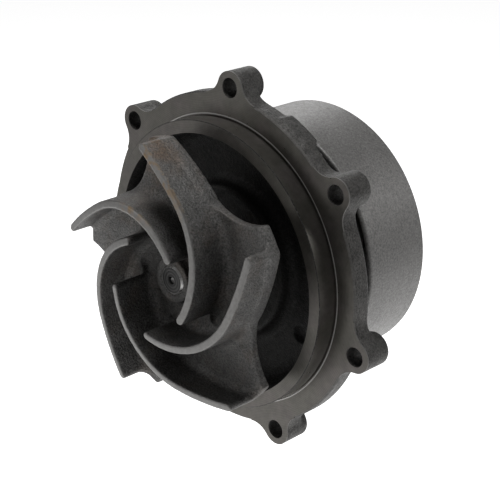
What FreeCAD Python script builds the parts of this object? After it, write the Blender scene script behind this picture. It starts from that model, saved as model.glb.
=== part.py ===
import FreeCAD, Part
import math
import os
import Sketcher

# Engine water pump: pump axis along Y, impeller facing -Y, belt pulley at +Y, +Z up.
# The origin is the centre of the machined mounting face of the flange.
# Profile points are (radius, y) pairs.  A coordinate is a plain number, the name of a
# sheet cell, or a (cell, offset) pair; named ones are bound to the sheet.

SIZES = [
    ("lug_pcd", 190.0, "bolt circle of the mounting lugs"),
    ("lug_count", 7, "number of mounting lugs"),
    ("lug_start", -15.12, "angle of the first lug from +X towards +Z, degrees"),
    ("lug_hole_d", 10.5, "clearance hole for an M10 screw"),
    ("lug_r", 8.7, "outer radius of a lug"),
    ("lug_blend_r", 12.0, "radius blending a lug into the rim"),
    ("lug_depth", 16.5, "depth of a lug boss behind the face"),
    ("flange_r", 91.0, "flange rim radius"),
    ("flange_back", 10.8, "flange rim thickness"),
    ("face_inner_r", 78.95, "inner radius of the machined face"),
    ("spigot_r", 78.5, "register spigot radius"),
    ("spigot_front", -11.8, "front end of the spigot"),
    ("pad_angle", 61.3, "angle of the middle of the rim pad, degrees"),
    ("pad_half_angle", 6.2, "half of the angle that the rim pad spans, degrees"),
    ("pad_r", 91.9, "outer radius of the rim pad"),
    ("pad_root_r", 84.0, "inner radius of the rim pad"),
    ("pad_front", 4.0, "front of the rim pad"),
    ("pad_depth", 9.3, "depth of the rim pad"),
    ("rib_width", 5.0, "width of the ribs behind the flange"),
    ("core_mark_r", 5.0, "radius of the core mark in the bowl"),
    ("core_mark_at", 57.0, "distance of the core mark from the axis"),
    ("core_mark_angle", -31.0, "angle of the core mark, degrees"),
    ("core_mark_floor", 9.5, "bottom of the core mark"),
    ("bowl_r", 71.6, "radius of the bowl mouth"),
    ("bowl_floor", 7.0, "bowl floor"),
    ("boss_front", -1.0, "front of the seal boss inside the bowl"),
    ("boss_r", 41.5, "radius of the seal boss"),
    ("nose_r", 28.0, "bearing nose radius"),
    ("nose_back", 64.4, "rear end of the bearing nose"),
    ("chamber_r", 16.5, "weep chamber radius"),
    ("seal_bore_r", 18.2, "bore for the face seal cup"),
    ("seal_bore_back", 10.4, "bottom of the seal bore"),
    ("weep_d", 4.0, "weep hole diameter"),
    ("weep_y", 13.2, "position of the weep hole"),
    ("bearing_r", 19.05, "bearing outer radius"),
    ("bearing_front", 16.0, "bearing front face"),
    ("bearing_back", 62.1, "bearing rear face"),
    ("race_r", 14.7, "bearing outer ring inner radius"),
    ("ball_y", 29.0, "ball row position"),
    ("roller_y", 48.0, "roller row position"),
    ("pitch_r", 12.1, "pitch radius of balls and rollers"),
    ("ball_r", 3.45, "ball radius"),
    ("ball_count", 8, "number of balls"),
    ("roller_r", 2.57, "roller radius"),
    ("roller_len", 9.6, "roller length"),
    ("roller_count", 10, "number of rollers"),
    ("spindle_r", 7.95, "spindle end radius"),
    ("spindle_mid_r", 9.5, "spindle raceway radius"),
    ("spindle_front", -38.4, "front end of the spindle"),
    ("spindle_back", 84.5, "rear end of the spindle"),
    ("shroud_r", 73.6, "impeller radius"),
    ("shroud_front", -31.8, "front of the impeller back plate"),
    ("shroud_back", -27.0, "rear of the impeller back plate"),
    ("hub_r", 12.5, "impeller hub radius"),
    ("hub_back", -11.5, "rear end of the impeller boss"),
    ("vane_count", 5, "number of impeller vanes"),
    ("vane_thick", 4.3, "vane thickness"),
    ("vane_inner_r", 26.4, "radius where the first vane starts"),
    ("vane_inner_angle", -20.7, "angle where the first vane starts, degrees"),
    ("vane_lead", 56.5, "direction of the vane at its start, degrees"),
    ("vane_bend_r", 46.6, "bend radius of the inner part of a vane"),
    ("vane_bend_len", 66.0, "length of the inner part of a vane"),
    ("vane_sweep_r", 156.0, "bend radius of the outer part of a vane"),
    ("vane_sweep_len", 34.4, "length of the outer part of a vane"),
    ("vane_tip_y", -47.0, "front edge of a vane at the impeller radius"),
    ("vane_slope", 0.188, "rise of the vane front edge per mm towards the axis"),
    ("scallop_r", 38.0, "radius of the cut-outs in the back plate"),
    ("scallop_centre_r", 91.0, "distance of a cut-out centre from the axis"),
    ("scallop_angle", 60.5, "angle of the first cut-out centre, degrees"),
    ("balance_d", 7.0, "balance hole diameter"),
    ("balance_r", 29.5, "distance of the balance holes from the axis"),
    ("balance_angle", -33.7, "angle of the first balance hole, degrees"),
    ("pulley_r", 71.6, "belt pulley radius"),
    ("pulley_wall", 4.0, "belt pulley wall thickness"),
    ("pulley_front", 34.6, "front rim of the pulley"),
    ("rim_nose_r", 1.5, "radius of the rounded front edge of the pulley"),
    ("rim_taper", 10.0, "depth over which the rim thins towards its front edge"),
    ("pulley_back", 78.5, "rear rim of the pulley"),
    ("web_front", 71.5, "front of the pulley web"),
    ("web_back", 75.5, "rear of the pulley web"),
    ("drive_flange_r", 36.0, "drive flange radius"),
    ("pilot_r", 17.5, "pilot that centres the pulley"),
    ("drive_pcd", 54.0, "bolt circle of the pulley bolts"),
    ("drive_bolts", 4, "number of pulley bolts"),
    ("window_d", 17.0, "diameter of the pulley web windows"),
    ("window_at", 51.0, "distance of the windows from the axis"),
    ("head_r", 7.5, "corner radius of a pulley bolt's hexagon head"),
    ("head_height", 5.3, "height of a pulley bolt's head"),
    ("washer_r", 8.2, "radius of a pulley bolt's washer"),
    ("washer_thick", 1.3, "thickness of a pulley bolt's washer"),
    ("shank_r", 4.0, "radius of a pulley bolt's shank"),
    ("shank_len", 11.0, "length of a pulley bolt's shank"),
    ("spring_r", 14.9, "mean radius of the seal spring"),
    ("spring_wire", 1.4, "seal spring wire diameter"),
    ("spring_len", 12.6, "seal spring length between its end wires' middles"),
    ("spring_turns", 4, "turns of the seal spring"),
    ("spring_front", -4.1, "front end of the seal spring"),
]

doc = FreeCAD.newDocument("water_pump")
sheet = doc.addObject("Spreadsheet::Sheet", "Sheet")
VALUE = {}
for row, (name, value, note) in enumerate(SIZES, start=1):
    sheet.set("A%d" % row, name)
    sheet.set("B%d" % row, str(value))
    sheet.set("C%d" % row, note)
    sheet.setAlias("B%d" % row, name)
    VALUE[name] = value
doc.recompute()

NODES = []


def size(term):
    """Number for a coordinate term."""
    if isinstance(term, str):
        return VALUE[term]
    if isinstance(term, tuple):
        return VALUE[term[0]] + term[1]
    return term


def formula(term):
    """Sheet expression for a coordinate term, or None for a plain number."""
    if isinstance(term, str):
        return "Sheet." + term
    if isinstance(term, tuple):
        return "Sheet.%s + (%s)" % term
    return None


def new_body(label):
    body = doc.addObject("PartDesign::Body", label)
    body.Label = label
    body.Placement = FreeCAD.Placement()
    NODES.append(body)
    return body


def origin_item(body, role):
    for item in body.Origin.OriginFeatures:
        if item.Role == role:
            return item
    raise ValueError(role)


def side_sketch(body, name, turn=0.0):
    """Sketch through the pump axis: x is the radius, y runs along the axis."""
    sketch = body.newObject("Sketcher::SketchObject", name)
    sketch.AttachmentSupport = [(origin_item(body, "XY_Plane"), "")]
    sketch.MapMode = "FlatFace"
    sketch.AttachmentOffset = FreeCAD.Placement(
        FreeCAD.Vector(), FreeCAD.Rotation(FreeCAD.Vector(0, 1, 0), -turn))
    return sketch


def front_sketch(body, name, y, turn=0.0):
    """Sketch square to the pump axis at y, turned about the axis from +X to +Z."""
    sketch = body.newObject("Sketcher::SketchObject", name)
    sketch.AttachmentSupport = [(origin_item(body, "XZ_Plane"), "")]
    sketch.MapMode = "FlatFace"
    sketch.AttachmentOffset = FreeCAD.Placement(
        FreeCAD.Vector(0, 0, -size(y)), FreeCAD.Rotation(FreeCAD.Vector(0, 0, 1), turn))
    if formula(y):
        sketch.setExpression("AttachmentOffset.Base.z", "-(%s)" % formula(y))
    return sketch


def hold(sketch, kind, where, term):
    """Give a sketch dimension the value of a term, bound to the sheet if it names a cell."""
    number = sketch.addConstraint(Sketcher.Constraint(kind, *where, size(term)))
    if formula(term):
        sketch.setExpression("Constraints[%d]" % number, formula(term))


def add_outline(sketch, points):
    """Closed outline of straight lines through points whose coordinates are terms."""
    corners = [FreeCAD.Vector(size(r), size(y), 0) for r, y in points]
    count = len(corners)
    first = sketch.GeometryCount
    for i in range(count):
        line = Part.LineSegment(corners[i], corners[(i + 1) % count])
        sketch.addGeometry(line, False)
    for i in range(count):
        sketch.addConstraint(Sketcher.Constraint(
            "Coincident", first + i, 2, first + (i + 1) % count, 1))
    for i, (r, y) in enumerate(points):
        hold(sketch, "DistanceX", (first + i, 1), r)
        hold(sketch, "DistanceY", (first + i, 1), y)


def add_circle(sketch, x, y, radius):
    """Circle with its centre and radius given as terms."""
    circle = Part.Circle(FreeCAD.Vector(size(x), size(y), 0), FreeCAD.Vector(0, 0, 1), size(radius))
    number = sketch.addGeometry(circle, False)
    hold(sketch, "DistanceX", (number, 3), x)
    hold(sketch, "DistanceY", (number, 3), y)
    hold(sketch, "Radius", (number,), radius)


def revolve(body, name, points, groove=False):
    """Turn an outline about the pump axis, to add material or to cut a groove."""
    sketch = side_sketch(body, name + "_sketch")
    add_outline(sketch, points)
    kind = "PartDesign::Groove" if groove else "PartDesign::Revolution"
    feature = body.newObject(kind, name)
    feature.Profile = sketch
    feature.ReferenceAxis = (sketch, ["V_Axis"])
    feature.Angle = 360
    return feature


def extrude(body, name, sketch, length, back=True, cut=False):
    """Pad or pocket a front sketch by a length, backwards (+Y) or forwards (-Y)."""
    feature = body.newObject("PartDesign::Pocket" if cut else "PartDesign::Pad", name)
    feature.Profile = sketch
    feature.Length = abs(size(length))
    if formula(length):
        feature.setExpression("Length", "abs(%s)" % formula(length))
    feature.Reversed = back != cut
    return feature


def around(body, name, features, count):
    """Repeat features evenly about the pump axis."""
    pattern = body.newObject("PartDesign::PolarPattern", name)
    pattern.Originals = features
    pattern.Axis = (origin_item(body, "Y_Axis"), [""])
    pattern.Angle = 360
    pattern.Occurrences = int(size(count))
    pattern.setExpression("Occurrences", formula(count))
    body.Tip = pattern
    return pattern


def turned(label, points):
    """A piece that is one turned profile."""
    body = new_body(label)
    revolve(body, label + "_profile", points)
    return body


def polar(radius, degrees):
    return FreeCAD.Vector(radius * math.cos(math.radians(degrees)),
                          radius * math.sin(math.radians(degrees)), 0)


def arc(centre, radius, start, end):
    """Arc of a circle between two angles in degrees, run anticlockwise."""
    circle = Part.Circle(centre, FreeCAD.Vector(0, 0, 1), radius)
    return Part.ArcOfCircle(circle, math.radians(start), math.radians(end))


def crossing(c1, r1, c2, r2, side):
    """Point where two circles cross; side +1 is left of the line from c1 to c2."""
    between = c2 - c1
    gap = between.Length
    along = (gap * gap + r1 * r1 - r2 * r2) / (2 * gap)
    out = math.sqrt(r1 * r1 - along * along)
    unit = between / gap
    return c1 + unit * along + FreeCAD.Vector(-unit.y, unit.x, 0) * out * side


def bearing_to(centre, point):
    """Angle in degrees of a point seen from a centre."""
    return math.degrees(math.atan2(point.y - centre.y, point.x - centre.x))


# ---------------------------------------------------------------- housing casting

def lug_outline(sketch):
    """One lug seen from the front, blended into the rim by two hollow radii."""
    rim = size("flange_r")
    blend = size("lug_blend_r")
    tip = size("lug_r")
    lug = FreeCAD.Vector(size("lug_pcd") / 2, 0, 0)
    upper = crossing(FreeCAD.Vector(), rim + blend, lug, tip + blend, 1)
    lower = FreeCAD.Vector(upper.x, -upper.y, 0)
    spread = bearing_to(FreeCAD.Vector(), upper)
    turn = bearing_to(lug, upper)
    root = polar(rim - 6, spread)
    meet = polar(rim, spread)
    sketch.addGeometry(arc(lug, tip, -turn, turn), False)
    sketch.addGeometry(arc(upper, blend, spread + 180, turn + 180), False)
    sketch.addGeometry(Part.LineSegment(meet, root), False)
    sketch.addGeometry(Part.LineSegment(root, FreeCAD.Vector(root.x, -root.y, 0)), False)
    sketch.addGeometry(Part.LineSegment(FreeCAD.Vector(root.x, -root.y, 0),
                                        FreeCAD.Vector(meet.x, -meet.y, 0)), False)
    sketch.addGeometry(arc(lower, blend, 180 - turn, 180 - spread), False)
    hold(sketch, "Radius", (0,), "lug_r")
    hold(sketch, "Radius", (1,), "lug_blend_r")
    hold(sketch, "Radius", (5,), "lug_blend_r")


def housing():
    body = new_body("pump_housing")
    revolve(body, "casting", [
        (("face_inner_r", 0.4), 0), (("flange_r", -0.8), 0), ("flange_r", 0.8),
        ("flange_r", ("flange_back", -0.8)), (("flange_r", -0.8), "flange_back"),
        (84.5, "flange_back"), (79.0, 14.0), (70.0, 15.5), (50.0, 17.5), (40.0, 22.0),
        (32.0, 32.0), ("nose_r", 42.0), ("nose_r", ("nose_back", -1.2)),
        (("nose_r", -1.2), "nose_back"), (("bearing_r", 0.5), "nose_back"),
        ("bearing_r", ("nose_back", -0.5)), ("bearing_r", "bearing_front"),
        ("chamber_r", "bearing_front"), ("chamber_r", "seal_bore_back"),
        ("seal_bore_r", "seal_bore_back"), ("seal_bore_r", "boss_front"),
        (("boss_r", -1.5), "boss_front"), ("boss_r", ("boss_front", 1.2)),
        (("boss_r", 1.5), 4.5), (("boss_r", 4.5), "bowl_floor"), (62.5, "bowl_floor"),
        (67.5, 4.5), (69.8, -1.0), ("bowl_r", "spigot_front"),
        (("spigot_r", -0.3), "spigot_front"), ("spigot_r", ("spigot_front", 0.3)),
        ("spigot_r", -1.4), (("spigot_r", -0.8), -1.0), (("spigot_r", -0.8), 1.0),
        ("face_inner_r", 1.0), ("face_inner_r", 0.4)])
    start = size("lug_start")
    blend = front_sketch(body, "lug_sketch", 0.0, start)
    lug_outline(blend)
    web = extrude(body, "lug_web", blend, ("flange_back", -0.6))
    round_sketch = front_sketch(body, "lug_boss_sketch", 0.0, start)
    half = size("lug_pcd") / 2
    add_circle(round_sketch, half, 0, "lug_r")
    round_sketch.setExpression("Constraints[0]", "Sheet.lug_pcd / 2")
    boss = extrude(body, "lug_boss", round_sketch, "lug_depth")
    ribs = side_sketch(body, "rib_sketch", start)
    add_outline(ribs, [(24.0, 40.0), (("nose_r", 0.6), 40.0), (46.0, 24.0), (80.0, 15.6),
                       (80.0, 9.0), (24.0, 18.0)])
    rib = body.newObject("PartDesign::Pad", "rib")
    rib.Profile = ribs
    rib.Length = size("rib_width")
    rib.setExpression("Length", formula("rib_width"))
    rib.Midplane = True
    around(body, "lugs_and_ribs", [web, boss, rib], "lug_count")
    revolve(body, "bore_clear", [
        (0, -20), ("seal_bore_r", -20), ("seal_bore_r", "seal_bore_back"),
        ("chamber_r", "seal_bore_back"), ("chamber_r", "bearing_front"),
        ("bearing_r", "bearing_front"), ("bearing_r", 80), (0, 80)], groove=True)
    revolve(body, "snap_ring_groove", [
        (18.0, 62.2), (20.1, 62.2), (20.1, 63.8), (18.0, 63.8)], groove=True)
    hole = front_sketch(body, "lug_hole_sketch", -1.0, start)
    add_circle(hole, half, 0, size("lug_hole_d") / 2)
    hole.setExpression("Constraints[0]", "Sheet.lug_pcd / 2")
    hole.setExpression("Constraints[2]", "Sheet.lug_hole_d / 2")
    drilled = extrude(body, "lug_hole", hole, ("lug_depth", 3.0), cut=True)
    around(body, "lug_holes", [drilled], "lug_count")
    rim_pad(body)
    core = front_sketch(body, "core_mark_sketch", 0.0, size("core_mark_angle"))
    add_circle(core, "core_mark_at", 0, "core_mark_r")
    extrude(body, "core_mark", core, "core_mark_floor", cut=True)
    weep = side_sketch(body, "weep_sketch")
    add_circle(weep, 0, "weep_y", size("weep_d") / 2)
    weep.setExpression("Constraints[2]", "Sheet.weep_d / 2")
    drain = body.newObject("PartDesign::Pocket", "weep_hole")
    drain.Profile = weep
    drain.Length = 84.5
    drain.Reversed = False
    return body


def rim_pad(body):
    """Cast pad standing on the rim between two lugs, behind the machined face."""
    sketch = front_sketch(body, "rim_pad_sketch", "pad_front", size("pad_angle"))
    low = size("pad_root_r")
    high = size("pad_r")
    half = size("pad_half_angle")
    foot = half + 1.5
    sketch.addGeometry(arc(FreeCAD.Vector(), high, -half, half), False)
    sketch.addGeometry(Part.LineSegment(polar(high, half), polar(low, foot)), False)
    sketch.addGeometry(arc(FreeCAD.Vector(), low, -foot, foot), False)
    sketch.addGeometry(Part.LineSegment(polar(low, -foot), polar(high, -half)), False)
    hold(sketch, "Radius", (0,), "pad_r")
    extrude(body, "rim_pad", sketch, "pad_depth")


# ---------------------------------------------------------------- impeller

def vane_line():
    """Centres and turning angles of the two arcs that make a vane's middle line."""
    lead = size("vane_lead")
    bend = size("vane_bend_r")
    sweep = size("vane_sweep_r")
    start = polar(size("vane_inner_r"), size("vane_inner_angle"))
    first = start + polar(bend, lead + 90)
    turn = math.degrees(size("vane_bend_len") / bend)
    knee = first + polar(bend, lead + turn - 90)
    second = knee + polar(sweep, lead + turn + 90)
    last = math.degrees(size("vane_sweep_len") / sweep)
    return first, second, lead - 90, lead + turn - 90, lead + turn + last - 90


def vane_outline(sketch, half):
    """Vane outline: two arcs a side and round ends."""
    first, second, begin, knee, end = vane_line()
    bend = size("vane_bend_r")
    sweep = size("vane_sweep_r")
    nose = first + polar(bend, begin)
    tip = second + polar(sweep, end)
    sketch.addGeometry(arc(first, bend + half, begin, knee), False)
    sketch.addGeometry(arc(second, sweep + half, knee, end), False)
    sketch.addGeometry(arc(tip, half, end, end + 180), False)
    sketch.addGeometry(arc(second, sweep - half, knee, end), False)
    sketch.addGeometry(arc(first, bend - half, begin, knee), False)
    sketch.addGeometry(arc(nose, half, begin + 180, begin + 360), False)


def scallop_outline(sketch):
    """Cut-out of the back plate between one vane's back and the next vane's tip."""
    first, second, begin, knee, end = vane_line()
    outer_bend = size("vane_bend_r") + size("vane_thick") / 2 + 0.8
    outer_sweep = size("vane_sweep_r") + size("vane_thick") / 2 + 0.8
    middle = polar(size("scallop_centre_r"), size("scallop_angle"))
    radius = size("scallop_r")
    inner = crossing(first, outer_bend, middle, radius, 1)
    outer = crossing(middle, radius, FreeCAD.Vector(), 80.0, 1)
    last = second + polar(outer_sweep, end + 3)
    beyond = polar(95.0, bearing_to(FreeCAD.Vector(), last))
    corner = polar(95.0, bearing_to(FreeCAD.Vector(), outer))
    sketch.addGeometry(arc(first, outer_bend, bearing_to(first, inner), knee), False)
    sketch.addGeometry(arc(second, outer_sweep, knee, end + 3), False)
    sketch.addGeometry(Part.LineSegment(last, beyond), False)
    sketch.addGeometry(Part.LineSegment(beyond, corner), False)
    sketch.addGeometry(Part.LineSegment(corner, outer), False)
    sketch.addGeometry(arc(middle, radius, bearing_to(middle, inner), bearing_to(middle, outer)),
                       False)
    hold(sketch, "Radius", (5,), "scallop_r")


def impeller():
    body = new_body("impeller")
    revolve(body, "hub_and_plate", [
        ("spindle_r", ("spindle_front", 1.1)), (("spindle_r", 1.1), "spindle_front"),
        (("hub_r", -0.6), "spindle_front"), ("hub_r", ("spindle_front", 0.6)),
        ("hub_r", ("shroud_front", -2.6)), (("hub_r", 0.9), ("shroud_front", -0.9)),
        (("hub_r", 2.6), "shroud_front"), ("shroud_r", "shroud_front"),
        ("shroud_r", "shroud_back"), (40.0, "shroud_back"), (24.0, -22.0), (20.0, -17.0),
        (19.0, "hub_back"), (15.5, "hub_back"), (15.5, -18.5), ("spindle_r", -18.5)])
    skirt_sketch = front_sketch(body, "vane_root_sketch", "shroud_front")
    vane_outline(skirt_sketch, size("vane_thick") / 2 + 2.6)
    skirt = extrude(body, "vane_root", skirt_sketch, 3.4, back=False)
    skirt.TaperAngle = -38.0
    vane_sketch = front_sketch(body, "vane_sketch", ("shroud_front", 1.0))
    vane_outline(vane_sketch, size("vane_thick") / 2)
    hold(vane_sketch, "Radius", (0,), size("vane_bend_r") + size("vane_thick") / 2)
    vane_sketch.setExpression("Constraints[0]", "Sheet.vane_bend_r + Sheet.vane_thick / 2")
    vane = extrude(body, "vane", vane_sketch, 30.0, back=False)
    around(body, "vanes", [skirt, vane], "vane_count")
    scallop_sketch = front_sketch(body, "scallop_sketch", -70.0)
    scallop_outline(scallop_sketch)
    scallop = extrude(body, "scallop", scallop_sketch, 60.0, cut=True)
    around(body, "scallops", [scallop], "vane_count")
    tip = size("vane_tip_y")
    slope = size("vane_slope")
    revolve(body, "faced_vanes", [
        (0, tip - slope * size("shroud_r")), (90.0, tip + slope * (90.0 - size("shroud_r"))),
        (90.0, -80.0), (0, -80.0)], groove=True)
    revolve(body, "trimmed_rim", [
        ("shroud_r", -80.0), (90.0, -80.0), (90.0, 0), ("shroud_r", 0)], groove=True)
    hole = front_sketch(body, "balance_sketch", -40.0, size("balance_angle"))
    add_circle(hole, "balance_r", 0, size("balance_d") / 2)
    hole.setExpression("Constraints[2]", "Sheet.balance_d / 2")
    drilled = extrude(body, "balance_hole", hole, 30.0, cut=True)
    around(body, "balance_holes", [drilled], "vane_count")
    return body


# ---------------------------------------------------------------- spindle and bearing

def race_points(centre_r, y, radius, outward):
    """Points of a ball track cut into a ring, run along +y."""
    middle = size(y)
    half = 2.3
    side = 1 if outward else -1
    points = []
    for step in range(7):
        offset = half * (step / 3.0 - 1.0)
        depth = math.sqrt(radius * radius - offset * offset)
        points.append((size(centre_r) + side * depth, middle + offset))
    return points


def spindle():
    track = race_points("pitch_r", "ball_y", 3.6, False)
    points = [(0, ("spindle_front", 3.0)), (1.6, ("spindle_front", 1.2)),
              (2.2, "spindle_front"), (("spindle_r", -0.9), "spindle_front"),
              ("spindle_r", ("spindle_front", 0.9)), ("spindle_r", ("bearing_front", 0.4)),
              ("spindle_mid_r", ("bearing_front", 1.0)), ("spindle_mid_r", track[0][1] - 0.1)]
    points += track
    points += [("spindle_mid_r", track[-1][1] + 0.1), ("spindle_mid_r", ("bearing_back", -1.0)),
               ("spindle_r", ("bearing_back", -0.4)), ("spindle_r", ("spindle_back", -0.9)),
               (("spindle_r", -0.9), "spindle_back"), (2.2, "spindle_back"),
               (1.6, ("spindle_back", -1.2)), (0, ("spindle_back", -3.0))]
    return turned("spindle", points)


def bearing_outer_ring():
    track = race_points("pitch_r", "ball_y", 3.6, True)
    points = [("bearing_r", ("bearing_front", 0.8)), ("bearing_r", ("bearing_back", -0.8)),
              (("bearing_r", -0.8), "bearing_back"), (16.6, "bearing_back"),
              (16.6, ("bearing_back", -2.6)), ("race_r", ("bearing_back", -2.6)),
              ("race_r", track[-1][1] + 0.1)]
    points += reversed(track)
    points += [("race_r", track[0][1] - 0.1), ("race_r", ("bearing_front", 2.6)),
               (16.6, ("bearing_front", 2.6)), (16.6, "bearing_front"),
               (("bearing_r", -0.8), "bearing_front")]
    return turned("bearing_outer_ring", points)


def bearing_seals():
    for label, edge, way in (("bearing_seal_front", "bearing_front", 1),
                             ("bearing_seal_rear", "bearing_back", -1)):
        turned(label, [
            (16.6, (edge, 0.5 * way)), (16.6, (edge, 2.3 * way)), (11.4, (edge, 2.3 * way)),
            (9.56, (edge, 3.1 * way)), (9.56, (edge, 1.5 * way)), (11.0, (edge, 0.9 * way)),
            (12.0, (edge, 0.5 * way))])


def snap_ring():
    body = new_body("bearing_snap_ring")
    revolve(body, "snap_ring_profile", [
        (17.6, 62.3), (20.0, 62.3), (20.0, 63.7), (17.6, 63.7)])
    gap = front_sketch(body, "gap_sketch", 60.0)
    add_outline(gap, [(10.0, -3.2), (26.0, -3.2), (26.0, 3.2), (10.0, 3.2)])
    extrude(body, "gap", gap, 8.0, cut=True)
    return body


def group(label, pieces):
    """Several equal solids that share one node."""
    holder = doc.addObject("Part::Compound", label)
    holder.Label = label
    holder.Links = pieces
    holder.Placement = FreeCAD.Placement()
    NODES.append(holder)
    return holder


def cage(label, ring, pockets):
    """Cage: a turned ring less the pockets of its balls or rollers."""
    blank = doc.addObject("Part::Feature", label + "_blank")
    outline = [FreeCAD.Vector(r, y, 0) for r, y in ring]
    face = Part.Face(Part.makePolygon(outline + outline[:1]))
    blank.Shape = face.revolve(FreeCAD.Vector(), FreeCAD.Vector(0, 1, 0), 360)
    tool = doc.addObject("Part::Compound", label + "_pockets")
    tool.Links = pockets
    part = doc.addObject("Part::Cut", label)
    part.Base = blank
    part.Tool = tool
    part.Label = label
    part.Placement = FreeCAD.Placement()
    NODES.append(part)
    return part


def spheres(prefix, grow):
    """Balls of the ball row, or their pockets, spaced around the pitch circle."""
    found = []
    count = int(size("ball_count"))
    for k in range(count):
        ball = doc.addObject("Part::Sphere", "%s_%d" % (prefix, k + 1))
        ball.setExpression("Radius", "Sheet.ball_r + %s" % grow)
        at = polar(size("pitch_r"), 360.0 * (k + 0.5) / count)
        ball.Placement.Base = FreeCAD.Vector(at.x, size("ball_y"), at.y)
        found.append(ball)
    return found


def cylinders(prefix, grow):
    """Rollers of the roller row, or their pockets, spaced around the pitch circle."""
    found = []
    count = int(size("roller_count"))
    for k in range(count):
        roller = doc.addObject("Part::Cylinder", "%s_%d" % (prefix, k + 1))
        roller.setExpression("Radius", "Sheet.roller_r + %s" % grow)
        roller.setExpression("Height", "Sheet.roller_len + %s" % (2 * grow))
        at = polar(size("pitch_r"), 360.0 * (k + 0.5) / count)
        front = size("roller_y") - size("roller_len") / 2 - grow
        roller.Placement = FreeCAD.Placement(
            FreeCAD.Vector(at.x, front, at.y), FreeCAD.Rotation(FreeCAD.Vector(1, 0, 0), -90))
        found.append(roller)
    return found


def rolling_elements():
    group("ball_row", spheres("ball", 0.0))
    y = size("ball_y")
    cage("ball_cage", [(10.9, y - 1.0), (13.3, y - 1.0), (13.3, y + 5.0), (10.9, y + 5.0)],
         spheres("ball_pocket", 0.15))
    group("roller_row", cylinders("roller", 0.0))
    y = size("roller_y")
    cage("roller_cage", [(11.2, y - 6.8), (13.2, y - 6.8), (13.2, y + 6.8), (11.2, y + 6.8)],
         cylinders("roller_pocket", 0.15))


# ---------------------------------------------------------------- face seal

def face_seal():
    turned("mating_ring_boot", [
        (15.5, -11.6), (15.5, -18.4), (8.4, -18.4), (8.4, -17.0), (14.0, -17.0), (14.0, -11.6)])
    turned("mating_ring", [
        (13.9, -11.0), (13.9, -16.9), (9.0, -16.9), (9.0, -10.6), (13.5, -10.6)])
    turned("carbon_ring", [
        (9.6, -10.5), (12.2, -10.5), (12.2, -9.2), (13.2, -9.2), (13.2, -5.0), (9.2, -5.0),
        (9.2, -10.0)])
    turned("seal_carrier", [
        (13.3, -8.6), (14.0, -8.6), (14.0, -5.6), (16.4, -5.6), (16.4, -4.9), (13.3, -4.9)])
    turned("seal_bellows", [
        (8.9, -4.8), (13.0, -4.8), (13.0, -3.2), (11.0, -2.4), (11.0, 0.6), (13.0, 1.6),
        (13.0, 3.4), (11.0, 4.4), (11.0, 7.6), (13.2, 8.2), (13.2, 9.4), (8.9, 9.4),
        (8.9, 3.8), (9.9, 3.2), (11.4, 2.8), (11.4, 2.2), (9.9, 1.8), (8.9, 1.2)])
    turned("seal_cup", [
        (17.5, ("boss_front", -0.1)), (20.6, ("boss_front", -0.1)),
        (20.6, ("boss_front", -0.9)), (17.0, ("boss_front", -0.9)), (17.0, 9.5), (9.3, 9.5),
        (9.3, 10.3), ("seal_bore_r", 10.3), ("seal_bore_r", ("boss_front", -0.1))])
    spring = doc.addObject("Part::Feature", "seal_spring")
    wire_r = size("spring_wire") / 2
    rise = size("spring_len")
    path = Part.makeHelix(rise / size("spring_turns"), rise, size("spring_r"))
    middle = FreeCAD.Vector(size("spring_r"), 0, 0)
    ring = Part.Wire(Part.makeCircle(wire_r, middle, FreeCAD.Vector(0, 1, 0)))
    spring.Shape = Part.Wire(path.Edges).makePipeShell([ring], True, True)
    spring.Placement = FreeCAD.Placement(
        FreeCAD.Vector(0, size("spring_front"), 0), FreeCAD.Rotation(FreeCAD.Vector(1, 0, 0), -90))
    spring.Label = "seal_spring"
    NODES.append(spring)


# ---------------------------------------------------------------- pulley end

def rim_nose(steps=8):
    """Points round the front edge of the pulley, from its inside to its outside."""
    radius = size("rim_nose_r")
    points = []
    for step in range(steps + 1):
        turn = math.pi * step / steps
        inward = radius + radius * math.cos(turn)
        behind = radius - radius * math.sin(turn)
        points.append((("pulley_r", -inward), ("pulley_front", behind)))
    return points


def pulley():
    body = new_body("belt_pulley")
    inner = ("pulley_r", -size("pulley_wall"))
    revolve(body, "pulley_shell", rim_nose() + [
        ("pulley_r", ("pulley_back", -1.2)), (("pulley_r", -1.2), "pulley_back"),
        (inner, "pulley_back"), (inner, ("web_back", 1.5)), (("pulley_r", -5.5), "web_back"),
        (("pilot_r", 0.15), "web_back"), (("pilot_r", 0.15), "web_front"),
        (("pulley_r", -9.0), "web_front"), (("pulley_r", -5.2), ("web_front", -1.4)),
        (inner, ("web_front", -4.5)),
        (inner, ("pulley_front", size("rim_taper")))])
    holes = front_sketch(body, "bolt_hole_sketch", ("web_front", -2.0), 45.0)
    add_circle(holes, size("drive_pcd") / 2, 0, 4.5)
    holes.setExpression("Constraints[0]", "Sheet.drive_pcd / 2")
    drilled = extrude(body, "bolt_hole", holes, 10.0, cut=True)
    windows = front_sketch(body, "window_sketch", ("web_front", -2.0))
    add_circle(windows, "window_at", 0, size("window_d") / 2)
    windows.setExpression("Constraints[2]", "Sheet.window_d / 2")
    window = extrude(body, "window", windows, 10.0, cut=True)
    around(body, "web_holes", [drilled, window], "drive_bolts")
    return body


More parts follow.
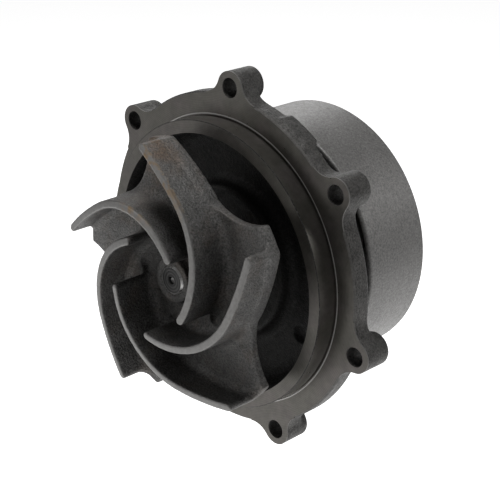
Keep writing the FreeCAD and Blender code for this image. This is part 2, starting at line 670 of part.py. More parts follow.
def drive_flange():
    body = new_body("drive_flange")
    revolve(body, "flange_profile", [
        ("spindle_r", 66.2), (("drive_flange_r", -0.8), 66.2), ("drive_flange_r", 67.0),
        ("drive_flange_r", ("web_front", -0.8)), (("drive_flange_r", -0.8), "web_front"),
        ("pilot_r", "web_front"), ("pilot_r", 77.0), (16.5, 78.0), (14.5, 78.0),
        (14.0, 83.4), (13.2, 84.0), (("spindle_r", 0.6), 84.0), ("spindle_r", 83.4)])
    tapped = front_sketch(body, "tapped_sketch", 64.0, 45.0)
    add_circle(tapped, size("drive_pcd") / 2, 0, 4.05)
    tapped.setExpression("Constraints[0]", "Sheet.drive_pcd / 2")
    hole = extrude(body, "tapped_hole", tapped, 10.0, cut=True)
    around(body, "tapped_holes", [hole], "drive_bolts")
    return body


def pulley_bolts():
    """Hexagon-head bolts with washers, put in from the rear."""
    found = []
    count = int(size("drive_bolts"))
    for k in range(count):
        at = polar(size("drive_pcd") / 2, 45.0 + 360.0 * k / count)
        hexagon = doc.addObject("Part::Prism", "bolt_head_%d" % (k + 1))
        hexagon.Polygon = 6
        hexagon.setExpression("Circumradius", formula("head_r"))
        hexagon.setExpression("Height", formula("head_height"))
        washer = doc.addObject("Part::Cylinder", "bolt_washer_%d" % (k + 1))
        washer.setExpression("Radius", formula("washer_r"))
        washer.setExpression("Height", formula("washer_thick"))
        shank = doc.addObject("Part::Cylinder", "bolt_shank_%d" % (k + 1))
        shank.setExpression("Radius", formula("shank_r"))
        shank.setExpression("Height", formula("shank_len"))
        turn = FreeCAD.Rotation(FreeCAD.Vector(1, 0, 0), -90)
        back = size("web_back")
        for piece, y in ((hexagon, back + 1.2), (washer, back), (shank, back - 9.3)):
            piece.Placement = FreeCAD.Placement(FreeCAD.Vector(at.x, y, at.y), turn)
            rise = "Sheet.web_back + %s" % (y - back)
            piece.setExpression("Placement.Base.y", rise)
        bolt = doc.addObject("Part::MultiFuse", "bolt_%d" % (k + 1))
        bolt.Shapes = [hexagon, washer, shank]
        found.append(bolt)
    group("pulley_bolts", found)


def slinger():
    return turned("slinger", [
        ("spindle_r", 12.0), (9.4, 12.0), (9.4, 12.8), (12.6, 13.4), (12.6, 14.2),
        (9.4, 13.9), (9.4, 14.8), ("spindle_r", 14.8)])


def check_and_write():
    doc.recompute()
    for item in doc.Objects:
        if "Invalid" in item.State or "Error" in item.State:
            raise RuntimeError("%s failed: %s" % (item.Name, item.State))
    for node in NODES:
        if node.Shape.isNull() or not node.Shape.isValid():
            raise RuntimeError("%s has no valid shape" % node.Label)
    os.makedirs("parts", exist_ok=True)
    for node in NODES:
        node.Shape.exportStep(os.path.join("parts", node.Label + ".step"))
        box = node.Shape.BoundBox
        print("%-20s solids %d volume %10.1f  x %.1f..%.1f y %.1f..%.1f z %.1f..%.1f" % (
            node.Label, len(node.Shape.Solids), node.Shape.Volume,
            box.XMin, box.XMax, box.YMin, box.YMax, box.ZMin, box.ZMax))


housing()
impeller()
spindle()
bearing_outer_ring()
bearing_seals()
snap_ring()
rolling_elements()
face_seal()
slinger()
pulley()
drive_flange()
pulley_bolts()
check_and_write()
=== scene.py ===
import bmesh
import bpy
import math
import numpy as np
import openvdb
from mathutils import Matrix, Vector


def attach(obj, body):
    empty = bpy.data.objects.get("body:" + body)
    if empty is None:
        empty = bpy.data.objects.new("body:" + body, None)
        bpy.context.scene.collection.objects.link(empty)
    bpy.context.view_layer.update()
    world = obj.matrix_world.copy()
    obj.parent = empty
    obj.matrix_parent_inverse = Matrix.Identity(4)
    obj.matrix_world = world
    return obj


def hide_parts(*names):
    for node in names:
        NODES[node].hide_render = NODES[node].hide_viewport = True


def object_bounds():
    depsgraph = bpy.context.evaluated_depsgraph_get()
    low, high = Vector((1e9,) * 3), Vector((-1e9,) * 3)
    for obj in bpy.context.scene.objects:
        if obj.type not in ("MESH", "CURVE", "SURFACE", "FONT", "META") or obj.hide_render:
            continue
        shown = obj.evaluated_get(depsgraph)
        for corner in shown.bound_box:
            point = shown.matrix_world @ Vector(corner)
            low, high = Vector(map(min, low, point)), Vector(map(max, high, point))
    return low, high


# An engine water pump.  The pump axis is Y, the impeller faces -Y, +Z is up; metres.

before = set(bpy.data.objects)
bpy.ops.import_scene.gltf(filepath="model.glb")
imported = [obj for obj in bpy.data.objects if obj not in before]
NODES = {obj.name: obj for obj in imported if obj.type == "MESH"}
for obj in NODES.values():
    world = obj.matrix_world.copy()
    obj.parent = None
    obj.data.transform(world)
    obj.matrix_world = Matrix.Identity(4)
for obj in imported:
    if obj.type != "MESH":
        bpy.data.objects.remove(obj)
cad_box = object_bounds()

MM = 0.001

# ---------------------------------------------------------------- camera, light, floor

VIEW_AZIMUTH = math.radians(45.36)
VIEW_ELEVATION = math.radians(22.04)
VIEW_DISTANCE = 0.6992
VIEW_LENS = 94.6
AIM_RIGHT = 0.01293
AIM_UP = 0.00551
SENSOR_WIDTH = 36.0

# Name, place and power in watts of each round light; all of them point at the origin.
LIGHTS = [
    ("top_light", (0, 0, 1.7), 20),
    ("right_light", (1.03, 1.03, 0.68), 5.2),
    ("back_light", (-1.03, 1.03, 0.68), 4.6),
    ("left_light", (-1.03, -1.03, 0.68), 5.0),
    ("low_light", (-0.72, -1.41, -0.22), 1.9),
]
LIGHT_SIZE = 0.8
WORLD_STRENGTH = 0.12

FLOOR_DROP = 0.30
FLOOR_HALF = 12.0
# Strength of the floor's own painted glow, outside and inside the lane behind the object.
FLOOR_GLOW = 0.36
LANE_GLOW = 0.80


def view_axes():
    """Right, up and backward directions of the camera."""
    ca, sa = math.cos(VIEW_AZIMUTH), math.sin(VIEW_AZIMUTH)
    ce, se = math.cos(VIEW_ELEVATION), math.sin(VIEW_ELEVATION)
    right = Vector((ca, sa, 0))
    back = Vector((sa * ce, -ca * ce, se))
    return right, back.cross(right), back


def add_camera():
    right, up, back = view_axes()
    aim = right * AIM_RIGHT + up * AIM_UP
    data = bpy.data.cameras.new("camera")
    data.lens = VIEW_LENS
    data.sensor_width = SENSOR_WIDTH
    data.clip_start = 0.01
    camera = bpy.data.objects.new("camera", data)
    camera.location = aim + back * VIEW_DISTANCE
    camera.rotation_euler = back.to_track_quat("Z", "Y").to_euler()
    bpy.context.scene.collection.objects.link(camera)
    bpy.context.scene.camera = camera


def add_area(name, place, power):
    data = bpy.data.lights.new(name, "AREA")
    data.shape = "DISK"
    data.size = LIGHT_SIZE
    data.energy = power
    lamp = bpy.data.objects.new(name, data)
    lamp.location = place
    lamp.rotation_euler = Vector(place).to_track_quat("Z", "Y").to_euler()
    bpy.context.scene.collection.objects.link(lamp)


def add_light():
    bpy.context.scene.view_settings.view_transform = "Standard"
    world = bpy.data.worlds.new("studio")
    world.use_nodes = True
    background = world.node_tree.nodes["Background"]
    background.inputs["Color"].default_value = (1, 1, 1, 1)
    background.inputs["Strength"].default_value = WORLD_STRENGTH
    bpy.context.scene.world = world
    for name, place, power in LIGHTS:
        add_area(name, place, power)


def add_floor():
    low = cad_box[0][2] - FLOOR_DROP
    mesh = bpy.data.meshes.new("floor")
    half = FLOOR_HALF
    corners = [(-half, -half, low), (half, -half, low), (half, half, low), (-half, half, low)]
    mesh.from_pydata(corners, [], [(0, 1, 2, 3)])
    floor = bpy.data.objects.new("floor", mesh)
    bpy.context.scene.collection.objects.link(floor)
    mesh.materials.append(lit_floor())


def lit_floor():
    """White paper that glows by itself: a painted pool of light, brightest in a wide lane that
    runs away behind the object.
    """
    s = Surface("floor_white_painted_glow")
    across = s.math("MULTIPLY", s.math("ADD", s.x, s.y), math.sqrt(0.5))
    away = s.math("MULTIPLY", s.math("SUBTRACT", s.y, s.x), math.sqrt(0.5))
    width = s.range(away, 0.0, 4.0, 0.5, 1.6)
    side = s.math("DIVIDE", s.math("ABSOLUTE", across), width)
    lane = s.range(side, 1.0, 2.0, 1.0, 0.0)
    behind = s.range(away, -0.9, -0.1)
    # Painted light: the floor glows, brightest in the lane behind the object.
    glow = s.range(s.math("MULTIPLY", lane, behind), 0.0, 1.0, FLOOR_GLOW, LANE_GLOW)
    s.shader.inputs["Emission Color"].default_value = (1, 1, 1, 1)
    s.join(glow, s.shader.inputs["Emission Strength"])
    return s.finish(color=(0.9, 0.9, 0.9, 1), roughness=0.9)


# ---------------------------------------------------------------- material building

class Surface:
    """A material under construction: short ways to add nodes and join them."""

    def __init__(self, name):
        self.material = bpy.data.materials.new(name)
        self.material.use_nodes = True
        self.tree = self.material.node_tree
        self.shader = self.tree.nodes["Principled BSDF"]
        place = self.add("TexCoord")
        self.place = place.outputs["Object"]
        split = self.add("SeparateXYZ", {0: self.place})
        self.x, self.y, self.z = split.outputs
        squares = self.math("ADD", self.math("MULTIPLY", self.x, self.x),
                            self.math("MULTIPLY", self.z, self.z))
        self.radius = self.math("SQRT", squares)
        geometry = self.add("NewGeometry")
        self.normal = geometry.outputs["Normal"]
        self.pointiness = geometry.outputs["Pointiness"]

    def add(self, kind, inputs=None, **settings):
        node = self.tree.nodes.new("ShaderNode" + kind)
        for name, value in settings.items():
            setattr(node, name, value)
        for key, value in (inputs or {}).items():
            self.join(value, node.inputs[key])
        return node

    def join(self, value, socket):
        if isinstance(value, bpy.types.NodeSocket):
            self.tree.links.new(value, socket)
        else:
            socket.default_value = value

    def math(self, operation, a, b=0.0):
        return self.add("Math", {0: a, 1: b}, operation=operation).outputs[0]

    def between(self, value, low, high, soft):
        """1 where value lies between low and high, fading over soft at both ends."""
        rise = self.add("MapRange", {0: value, 1: low - soft, 2: low + soft}).outputs[0]
        fall = self.add("MapRange", {0: value, 1: high - soft, 2: high + soft,
                                     3: 1.0, 4: 0.0}).outputs[0]
        return self.math("MULTIPLY", rise, fall)

    def facing(self, x, y, z, least=0.7, soft=0.1):
        """1 where the surface faces along a direction."""
        dot = self.add("VectorMath", {0: self.object_normal(), 1: (x, y, z)},
                       operation="DOT_PRODUCT").outputs["Value"]
        return self.add("MapRange", {0: dot, 1: least - soft, 2: least + soft}).outputs[0]

    def object_normal(self):
        if not hasattr(self, "own_normal"):
            turn = self.add("VectorTransform", {0: self.normal}, vector_type="NORMAL",
                            convert_from="WORLD", convert_to="OBJECT")
            self.own_normal = turn.outputs[0]
        return self.own_normal

    def noise(self, size, detail=3.0, roughness=0.55):
        """Noise whose features are about size metres across."""
        node = self.add("TexNoise", {"Vector": self.place, "Scale": 1.0 / size,
                                     "Detail": detail, "Roughness": roughness})
        return node.outputs[0]

    def range(self, value, low, high, out_low=0.0, out_high=1.0):
        return self.add("MapRange", {0: value, 1: low, 2: high, 3: out_low,
                                     4: out_high}).outputs[0]

    def mix(self, factor, a, b):
        node = self.add("Mix", {0: factor, 6: a, 7: b}, data_type="RGBA")
        return node.outputs[2]

    def shade(self, color, factor):
        """A colour multiplied by a grey factor."""
        tone = self.add("CombineColor", {0: factor, 1: factor, 2: factor}).outputs[0]
        node = self.add("Mix", {0: 1.0, 6: color, 7: tone}, data_type="RGBA",
                        blend_type="MULTIPLY")
        return node.outputs[2]

    def blend(self, factor, a, b):
        return self.add("Mix", {0: factor, 2: a, 3: b}, data_type="FLOAT").outputs[0]

    def bump(self, height, depth, strength=1.0, under=None):
        inputs = {"Height": height, "Distance": depth, "Strength": strength}
        if under is not None:
            inputs["Normal"] = under
        return self.add("Bump", inputs).outputs[0]

    def finish(self, color, roughness, metallic=0.0, normal=None):
        self.join(color, self.shader.inputs["Base Color"])
        self.join(roughness, self.shader.inputs["Roughness"])
        self.join(metallic, self.shader.inputs["Metallic"])
        if normal is not None:
            self.join(normal, self.shader.inputs["Normal"])
        return self.material


def grey(value, warm=0.0):
    """A grey with a little more red and less blue when warm is above 0."""
    return (value * (1 + warm), value, value * (1 - 1.5 * warm), 1)


def turned_rings(surface, pitch, wander=0.3):
    """Fine rings about the pump axis, as a lathe tool leaves."""
    drift = surface.noise(9 * MM, 2.0)
    value = surface.math("ADD", surface.radius, surface.math("MULTIPLY", drift, wander * MM))
    phase = surface.math("MULTIPLY", value, 2 * math.pi / pitch)
    return surface.math("SINE", phase)


def edge_wear(s):
    """1 along outward edges, where a casting is rubbed bright."""
    return s.range(s.pointiness, 0.53, 0.62)


def cast_grain(s, medium, fine):
    return s.math("ADD", s.math("MULTIPLY", medium, 0.55), s.math("MULTIPLY", fine, 0.45))


SPIGOT_R = 78.5 * MM
SPIGOT_FRONT = -11.8 * MM
BOWL_R = 71.6 * MM


def machined_mask(s):
    """1 on the turned surfaces: the mounting face, and the spigot's side and front."""
    front = s.facing(0, -1, 0, 0.9, 0.06)
    on_face = s.math("MULTIPLY", front, s.between(s.y, -0.6 * MM, 0.6 * MM, 0.2 * MM))
    side = s.math("MULTIPLY",
                  s.between(s.radius, SPIGOT_R - 1.1 * MM, SPIGOT_R + 0.8 * MM, 0.1 * MM),
                  s.between(s.y, SPIGOT_FRONT - 0.4 * MM, 1.4 * MM, 0.1 * MM))
    end = s.math("MULTIPLY", front,
                 s.between(s.y, SPIGOT_FRONT - 0.6 * MM, SPIGOT_FRONT + 0.6 * MM, 0.2 * MM))
    return s.math("MAXIMUM", on_face, s.math("MAXIMUM", side, end))


def rim_wear_and_highlight_mask(s):
    """1 on the worn inner edge of the mounting face, which also gets a painted highlight."""
    return s.math("MULTIPLY",
                  s.between(s.radius, SPIGOT_R + 0.4 * MM, SPIGOT_R + 1.35 * MM, 0.1 * MM),
                  s.between(s.y, -0.2 * MM, 0.5 * MM, 0.05 * MM))


def spigot_rim_mask(s):
    """1 on the chamfer at the front of the spigot."""
    return s.math("MULTIPLY",
                  s.between(s.radius, SPIGOT_R - 0.35 * MM, SPIGOT_R + 0.1 * MM, 0.04 * MM),
                  s.between(s.y, SPIGOT_FRONT - 0.2 * MM, SPIGOT_FRONT + 0.35 * MM, 0.04 * MM))


def bowl_shade_mask(s):
    inside = s.range(s.radius, BOWL_R - 1.1 * MM, BOWL_R + 0.4 * MM, 1.0, 0.0)
    return s.math("MULTIPLY", inside, s.between(s.y, -11.5 * MM, 13.0 * MM, 0.3 * MM))


def housing_cast_color(s, coarse, fine):
    """Dark sand-cast iron, rubbed lighter on its edges, with painted shade that makes it darkest
    in the bowl.
    """
    tone = s.range(coarse, 0.3, 0.7, 0.75, 1.25)
    speckle = s.range(fine, 0.35, 0.65, 0.55, 1.5)
    color = s.shade(s.shade(grey(0.058, 0.03), tone), speckle)
    color = s.mix(edge_wear(s), color, grey(0.13, 0.03))
    # Painted shade: the recessed bowl behind the impeller is darkened.
    return s.shade(color, s.range(bowl_shade_mask(s), 0.0, 1.0, 1.0, 0.25))


def housing_cut_color(s, rings, fine, rim_wear_and_highlight, spigot_rim):
    """Turned iron with faint stains, a light line of wear and painted highlight at one edge, and a
    dark line at the other.
    """
    stain = s.range(s.noise(22 * MM, 3.0, 0.6), 0.45, 0.65)
    color = s.mix(stain, (0.082, 0.078, 0.069, 1), (0.088, 0.080, 0.075, 1))
    color = s.shade(color, s.range(rings, -1, 1, 0.9, 1.1))
    color = s.shade(color, s.range(s.noise(6 * MM, 4.0, 0.7), 0.3, 0.7, 0.82, 1.18))
    # Wear and painted highlight: a light line along the inner edge of the mounting face.
    color = s.mix(rim_wear_and_highlight, color, grey(0.45, 0.02))
    nicks = s.range(fine, 0.5, 0.7, 0.7, 3.0)
    return s.mix(spigot_rim, color, s.shade(grey(0.03, 0.02), nicks))


def cast_iron_housing():
    s = Surface("housing_cast_iron")
    coarse = s.noise(11 * MM, 3.0)
    medium = s.noise(2.4 * MM, 4.0, 0.65)
    fine = s.noise(1.0 * MM, 3.0, 0.7)
    rings = turned_rings(s, 0.9 * MM)
    machined = machined_mask(s)
    rim_wear_and_highlight = rim_wear_and_highlight_mask(s)
    spigot_rim = spigot_rim_mask(s)
    cast = housing_cast_color(s, coarse, fine)
    cut = housing_cut_color(s, rings, fine, rim_wear_and_highlight, spigot_rim)
    rough_cast = s.range(medium, 0.3, 0.7, 0.42, 0.66)
    rough_cut = s.range(coarse, 0.3, 0.7, 0.27, 0.38)
    rough_cut = s.blend(s.math("MAXIMUM", rim_wear_and_highlight, spigot_rim), rough_cut, 0.6)
    normal = s.bump(cast_grain(s, medium, fine), 1.0 * MM, s.blend(machined, 0.9, 0.05))
    normal = s.bump(rings, 0.02 * MM, s.math("MULTIPLY", machined, 0.6), normal)
    return s.finish(s.mix(machined, cast, cut), s.blend(machined, rough_cast, rough_cut),
                    0.75, normal)


# The front edges of the vanes lie on a cone: y = VANE_APEX + VANE_SLOPE * radius.
VANE_SLOPE = 0.188
VANE_APEX = -60.8 * MM
TOP_VANE_TIP = (-16 * MM, -42 * MM, 64 * MM)
OCHRE = (0.17, 0.120, 0.072, 1)


def top_vane_ochre(s, past_cone, tip):
    """1 along the front edge of the top vane, in patches."""
    near_cone = s.range(past_cone, 0.5 * MM, 1.6 * MM, 1.0, 0.0)
    ochre = s.math("MULTIPLY", near_cone, s.range(tip, 28 * MM, 52 * MM, 1.0, 0.0))
    ochre = s.math("MULTIPLY", ochre, s.range(s.x, -24 * MM, -18 * MM))
    ochre = s.math("MULTIPLY", ochre, s.range(s.z, 33 * MM, 39 * MM))
    return s.math("MULTIPLY", ochre, s.range(s.noise(4 * MM, 3.0), 0.42, 0.6))


def impeller_cast_color(s, coarse, fine, tip):
    """Cast iron with painted shade that darkens it towards the eye, with brown patches and a brown
    top vane tip.
    """
    tone = s.range(coarse, 0.3, 0.7, 0.8, 1.2)
    speckle = s.range(fine, 0.35, 0.65, 0.5, 1.55)
    color = s.shade(s.shade(grey(0.100, 0.02), tone), speckle)
    # Painted shade: darker towards the eye, among the vane roots.
    color = s.shade(color, s.range(s.radius, 16 * MM, 44 * MM, 0.66, 1.0))
    patches = s.range(s.noise(14 * MM, 4.0, 0.65), 0.5, 0.68)
    on_tip = s.math("MULTIPLY", s.range(tip, 12 * MM, 30 * MM, 1.0, 0.0),
                    s.range(s.noise(7 * MM, 4.0, 0.65), 0.35, 0.6))
    rusty = s.math("MAXIMUM", s.math("MULTIPLY", patches, 0.25),
                   s.math("MULTIPLY", on_tip, 0.9))
    color = s.mix(rusty, color, s.shade((0.112, 0.080, 0.058, 1), speckle))
    return s.mix(edge_wear(s), color, grey(0.21, 0.02))


def cast_impeller():
    s = Surface("impeller_cast_iron")
    coarse = s.noise(9 * MM, 3.0)
    medium = s.noise(2.0 * MM, 4.0, 0.65)
    fine = s.noise(1.0 * MM, 3.0, 0.7)
    cone = s.math("SUBTRACT", s.y, s.math("MULTIPLY", s.radius, VANE_SLOPE))
    past_cone = s.math("SUBTRACT", cone, VANE_APEX)
    ground = s.range(past_cone, 0.25 * MM, 0.5 * MM, 1.0, 0.0)
    tip = s.add("VectorMath", {0: s.place, 1: TOP_VANE_TIP},
                operation="DISTANCE").outputs["Value"]
    ochre = top_vane_ochre(s, past_cone, tip)
    cast = s.mix(ochre, impeller_cast_color(s, coarse, fine, tip), OCHRE)
    cut = s.shade(grey(0.155, 0.02), s.range(medium, 0.3, 0.7, 0.85, 1.15))
    cut = s.mix(ochre, cut, OCHRE)
    roughness = s.blend(ground, s.range(medium, 0.3, 0.7, 0.42, 0.62), 0.42)
    normal = s.bump(cast_grain(s, medium, fine), 1.0 * MM, s.blend(ground, 0.9, 0.2))
    return s.finish(s.mix(ground, cast, cut), roughness, 0.75, normal)


def pulley_metal():
    """Grainy grey metal with slow changes of tone over the drum."""
    s = Surface("pulley_grey")
    fine = s.noise(1.1 * MM, 3.0, 0.75)
    medium = s.noise(2.6 * MM, 3.0, 0.6)
    wide = s.noise(26 * MM, 2.0)
    tone = s.math("ADD", s.range(fine, 0.35, 0.65, 0.66, 1.34),
                  s.range(wide, 0.3, 0.7, -0.08, 0.08))
    color = s.shade(grey(0.150, 0.02), tone)
    roughness = s.range(medium, 0.3, 0.7, 0.36, 0.52)
    normal = s.bump(fine, 0.35 * MM, 0.7)
    return s.finish(color, roughness, 0.4, normal)


def turned_steel(name, value, roughness, pitch=0.35 * MM):
    """Bare steel of a grey value, with turned rings a pitch apart."""
    s = Surface(name)
    rings = turned_rings(s, pitch, 0.1)
    patch = s.noise(3 * MM, 3.0)
    color = s.shade(grey(value, 0.01), s.range(patch, 0.3, 0.7, 0.8, 1.2))
    rough = s.range(patch, 0.3, 0.7, roughness * 0.8, roughness * 1.2)
    return s.finish(color, rough, 1.0, s.bump(rings, 0.015 * MM, 0.6))


def spindle_steel():
    """Ground steel with turned rings on the dark end face, and a painted highlight as a bright
    ring at the edge of that face.
    """
    s = Surface("spindle_steel")
    patch = s.noise(3 * MM, 3.0)
    rings = turned_rings(s, 1.7 * MM, 0.05)
    face = s.range(s.y, -37.4 * MM, -37.2 * MM, 1.0, 0.0)
    # Painted highlight: a bright ring at the edge of the end face.
    end_face_highlight = s.math("MULTIPLY", face, s.between(s.radius, 7.05 * MM, 9.0 * MM, 0.1 * MM))
    dark = s.shade(grey(0.035, 0.01), s.range(rings, -1, 1, 0.6, 1.6))
    bright = s.shade(grey(0.3, 0.01), s.range(patch, 0.3, 0.7, 0.8, 1.2))
    color = s.mix(end_face_highlight, s.mix(face, bright, dark), grey(0.6, 0.01))
    normal = s.bump(rings, 0.03 * MM, 0.7)
    return s.finish(color, s.range(patch, 0.3, 0.7, 0.26, 0.38), 1.0, normal)


def brass_sheet():
    s = Surface("seal_brass")
    patch = s.noise(3 * MM, 3.0)
    color = s.shade((0.52, 0.36, 0.15, 1), s.range(patch, 0.3, 0.7, 0.85, 1.15))
    return s.finish(color, s.range(patch, 0.3, 0.7, 0.28, 0.42), 1.0,
                    s.bump(patch, 0.02 * MM, 0.5))


def plain(name, color, roughness, grain=0.8 * MM, depth=0.05 * MM):
    """A moulded or sintered surface with a fine grain."""
    s = Surface(name)
    patch = s.noise(grain, 3.0)
    tinted = s.shade(color, s.range(patch, 0.3, 0.7, 0.85, 1.15))
    return s.finish(tinted, s.range(patch, 0.3, 0.7, roughness * 0.85, roughness * 1.15), 0.0,
                    s.bump(patch, depth, 0.6))


# ---------------------------------------------------------------- pieces

def dress(node, material):
    slots = NODES[node].data.materials
    slots.clear()
    slots.append(material)


def smooth_by_angle(thing, degrees):
    """Smooth shading with sharp edges above an angle; faces square to the axis stay flat."""
    mesh = thing.data
    work = bmesh.new()
    work.from_mesh(mesh)
    for face in work.faces:
        face.smooth = abs(face.normal.y) < 0.9999
    limit = math.radians(degrees)
    for edge in work.edges:
        edge.smooth = len(edge.link_faces) == 2 and edge.calc_face_angle(0.0) < limit
    work.to_mesh(mesh)
    work.free()


# Castings are remade from the CAD surface as a distance field in millimetres, in which
# inside corners are filled to a radius, edges are rounded, and a fine even mesh is drawn.

FILLET = 3.0
MOST_TRIANGLES = 190000
RELAX_PASSES = 4
RELAX_FACTOR = 0.5


def node_triangles(node):
    """Points in millimetres and triangles of a CAD node."""
    mesh = NODES[node].data
    mesh.calc_loop_triangles()
    points = np.empty(len(mesh.vertices) * 3, np.float32)
    mesh.vertices.foreach_get("co", points)
    corners = np.empty(len(mesh.loop_triangles) * 3, np.int32)
    mesh.loop_triangles.foreach_get("vertices", corners)
    return points.reshape(-1, 3) / MM, corners.reshape(-1, 3)


def distance_grid(points, triangles, quads, voxel, band):
    """Signed distances to a surface, kept within band of it."""
    scale = openvdb.createLinearTransform(voxelSize=voxel)
    return openvdb.FloatGrid.createLevelSetFromPolygons(
        points, triangles=triangles.astype(np.int32), quads=quads.astype(np.int32),
        transform=scale, halfWidth=band / voxel)


def regrown(grid, shift, voxel, band):
    """Distance grid of the surface that lies shift away from a grid's own surface."""
    points, triangles, quads = grid.convertToPolygons(isovalue=shift, adaptivity=0.0)
    return distance_grid(points, triangles, quads, voxel, band)


class Field:
    """A block of distances read out of a grid, with the place of every sample."""

    def __init__(self, voxel, low, high):
        self.voxel = voxel
        self.low = tuple(low)
        self.dims = tuple(high[i] - low[i] + 1 for i in range(3))
        axes = [(np.arange(self.dims[i]) + low[i]).astype(np.float32) * voxel for i in range(3)]
        self.x = axes[0][:, None, None]
        self.y = axes[1][None, :, None]
        self.z = axes[2][None, None, :]
        self.radius = np.sqrt(self.x ** 2 + self.z ** 2)

    def read(self, grid):
        values = np.empty(self.dims, np.float32)
        grid.copyToArray(values, ijk=self.low)
        return values

    def write(self, values, band):
        grid = openvdb.FloatGrid(band)
        grid.copyFromArray(np.ascontiguousarray(values, np.float32), ijk=self.low)
        grid.transform = openvdb.createLinearTransform(voxelSize=self.voxel)
        return grid


def ramp(value, low, high):
    """0 below low, 1 above high, smooth between."""
    t = np.clip((value - low) / (high - low), 0.0, 1.0)
    return t * t * (3.0 - 2.0 * t)


def cast_shape(node, voxel, edge, filled, cut=None):
    """Points and quads of a node with inside corners filled and outside edges rounded.

    filled(field) is 1 where corners may be filled; cut(field) is negative inside
    a region that is taken away."""
    band = FILLET + 2.5 * voxel
    start = distance_grid(*node_triangles(node), np.empty((0, 4), np.int32), voxel, band)
    grown = regrown(start, FILLET, voxel, band)
    low, high = grown.evalActiveVoxelBoundingBox()
    field = Field(voxel, low, high)
    own = field.read(start)
    closed = field.read(grown) + FILLET
    values = own + (np.minimum(own, closed) - own) * filled(field)
    if cut is not None:
        values = np.maximum(values, -cut(field))
    shrunk = regrown(field.write(values, band), -edge, voxel, edge + 3 * voxel)
    points, _, quads = shrunk.convertToPolygons(isovalue=edge, adaptivity=0.0)
    return relax(points, quads), quads


def add_piece(name, mesh, material):
    """Object of a mesh, in one material."""
    mesh.materials.append(material)
    piece = bpy.data.objects.new(name, mesh)
    bpy.context.scene.collection.objects.link(piece)
    return piece


def bake_modifiers(piece):
    """Replace a piece's mesh by the result of its modifiers."""
    graph = bpy.context.evaluated_depsgraph_get()
    shaped = bpy.data.meshes.new_from_object(piece.evaluated_get(graph))
    piece.modifiers.clear()
    old = piece.data
    piece.data = shaped
    bpy.data.meshes.remove(old)
    shaped.name = piece.name


def thin(piece):
    """Reduce a fine mesh of quads to about MOST_TRIANGLES."""
    count = 2 * len(piece.data.polygons)
    if count > MOST_TRIANGLES:
        fewer = piece.modifiers.new("fewer", "DECIMATE")
        fewer.ratio = MOST_TRIANGLES / count
        bake_modifiers(piece)


def add_casting(name, points, quads, material):
    """Smooth shaded object from points in millimetres, thinned where it is too fine."""
    mesh = bpy.data.meshes.new(name)
    mesh.from_pydata(points * MM, [], quads[:, ::-1])
    mesh.polygons.foreach_set("use_smooth", [True] * len(mesh.polygons))
    mesh.update()
    piece = add_piece(name, mesh, material)
    thin(piece)
    return piece


def relax(points, quads):
    """Even out small steps by moving each point towards its neighbours' middle, and back."""
    edges = np.concatenate([quads[:, [i, (i + 1) % 4]] for i in range(4)])
    edges = np.concatenate([edges, edges[:, ::-1]])
    share = np.bincount(edges[:, 0], minlength=len(points)).astype(np.float32)[:, None]
    moved = points.astype(np.float32)
    for _ in range(RELAX_PASSES):
        for amount in (RELAX_FACTOR, -RELAX_FACTOR * 1.04):
            total = np.stack([np.bincount(edges[:, 0], moved[edges[:, 1], k], len(points))
                              for k in range(3)], 1)
            moved = moved + amount * (total / share - moved)
    return moved


def impeller_fill(field):
    """Corners stay sharp in the spindle bore and in the seat of the ceramic ring."""
    front = ramp(field.radius, 9.5, 11.0)
    rear = ramp(field.radius, 20.5, 22.0)
    return np.where(field.y < -26.0, front, rear).astype(np.float32)


def make_impeller(material):
    voxel = 0.5
    points, quads = cast_shape("impeller", voxel, 0.45, impeller_fill)
    piece = add_casting("impeller_casting", points, quads, material)
    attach(piece, "rotor")
    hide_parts("impeller")


# In millimetres. The machined front is a layer of its own, and the casting is cut back to
# end hidden inside it; both start some way out from the axis.
MACHINED_BACK = 0.85
MACHINED_INNER_R = 60.0
CASTING_FRONT = 0.4
CASTING_INNER_R = 62.0
WEEP_Y = 13.2


def housing_fill(field):
    """Corners stay sharp in the bores and round the weep hole."""
    bores = ramp(field.radius, 20.6, 22.0)
    weep = ramp(np.sqrt(field.x ** 2 + (field.y - WEEP_Y) ** 2) + (field.z > 0) * 9, 3.2, 4.4)
    return (bores * weep).astype(np.float32)


def housing_cut(field):
    """The layer in front that is made apart, with its crisp machined edges."""
    return np.maximum(field.y - CASTING_FRONT, CASTING_INNER_R - field.radius)


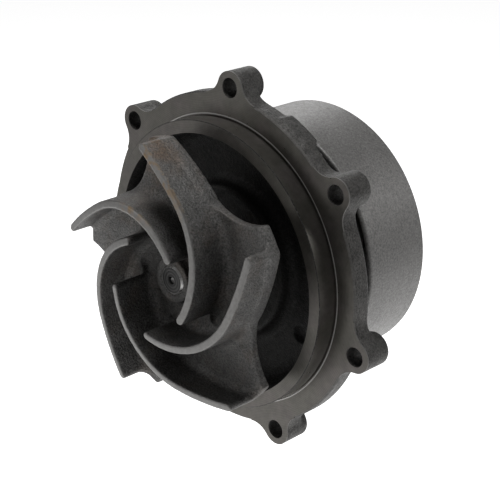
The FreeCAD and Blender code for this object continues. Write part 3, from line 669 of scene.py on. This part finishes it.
def machined_mesh(name):
    """Front of the flange and the spigot, cut from the CAD surface and closed behind."""
    work = bmesh.new()
    work.from_mesh(NODES["pump_housing"].data)
    bmesh.ops.remove_doubles(work, verts=work.verts, dist=1e-6)
    plane = (0, MACHINED_BACK * MM, 0)
    bmesh.ops.bisect_plane(work, geom=work.verts[:] + work.edges[:] + work.faces[:],
                           dist=1e-7, plane_co=plane, plane_no=(0, 1, 0), clear_outer=True)
    inner = [v for v in work.verts if math.hypot(v.co.x, v.co.z) < MACHINED_INNER_R * MM]
    bmesh.ops.delete(work, geom=inner, context="VERTS")
    open_edges = [e for e in work.edges if len(e.link_faces) == 1]
    bmesh.ops.triangle_fill(work, edges=open_edges, use_beauty=True, normal=(0, 1, 0))
    bmesh.ops.recalc_face_normals(work, faces=work.faces)
    mesh = bpy.data.meshes.new(name)
    work.to_mesh(mesh)
    work.free()
    return mesh


def make_housing(material):
    """Two pieces stand for the housing: the rough casting and its machined front."""
    voxel = 0.6
    points, quads = cast_shape("pump_housing", voxel, 0.6, housing_fill, housing_cut)
    casting = add_casting("housing_casting", points, quads, material)
    front = add_piece("housing_machined_face", machined_mesh("housing_machined_face"), material)
    smooth_by_angle(front, 25.0)
    for piece in (casting, front):
        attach(piece, "housing")
        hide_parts("pump_housing")


add_camera()
add_light()
add_floor()

make_impeller(cast_impeller())
make_housing(cast_iron_housing())

dress("belt_pulley", pulley_metal())
dress("spindle", spindle_steel())
for name in ("bearing_outer_ring", "ball_row", "roller_row"):
    dress(name, turned_steel(name + "_steel", 0.6, 0.2))
for name in ("bearing_snap_ring", "seal_spring"):
    dress(name, turned_steel(name + "_steel", 0.3, 0.35))
dress("drive_flange", turned_steel("drive_flange_steel", 0.22, 0.42, 0.6 * MM))
dress("pulley_bolts", turned_steel("bolt_steel", 0.45, 0.38))
for name in ("seal_cup", "seal_carrier"):
    dress(name, brass_sheet())
for name in ("bearing_seal_front", "bearing_seal_rear", "seal_bellows", "mating_ring_boot",
             "slinger"):
    dress(name, plain(name + "_rubber", (0.015, 0.015, 0.016, 1), 0.7))
dress("mating_ring", plain("mating_ring_ceramic", (0.78, 0.75, 0.68, 1), 0.25, 2 * MM, 0.005 * MM))
dress("carbon_ring", plain("carbon_grey", (0.035, 0.035, 0.038, 1), 0.4, 1 * MM, 0.01 * MM))
for name in ("ball_cage", "roller_cage"):
    dress(name, plain(name + "_nylon", (0.20, 0.14, 0.06, 1), 0.5))
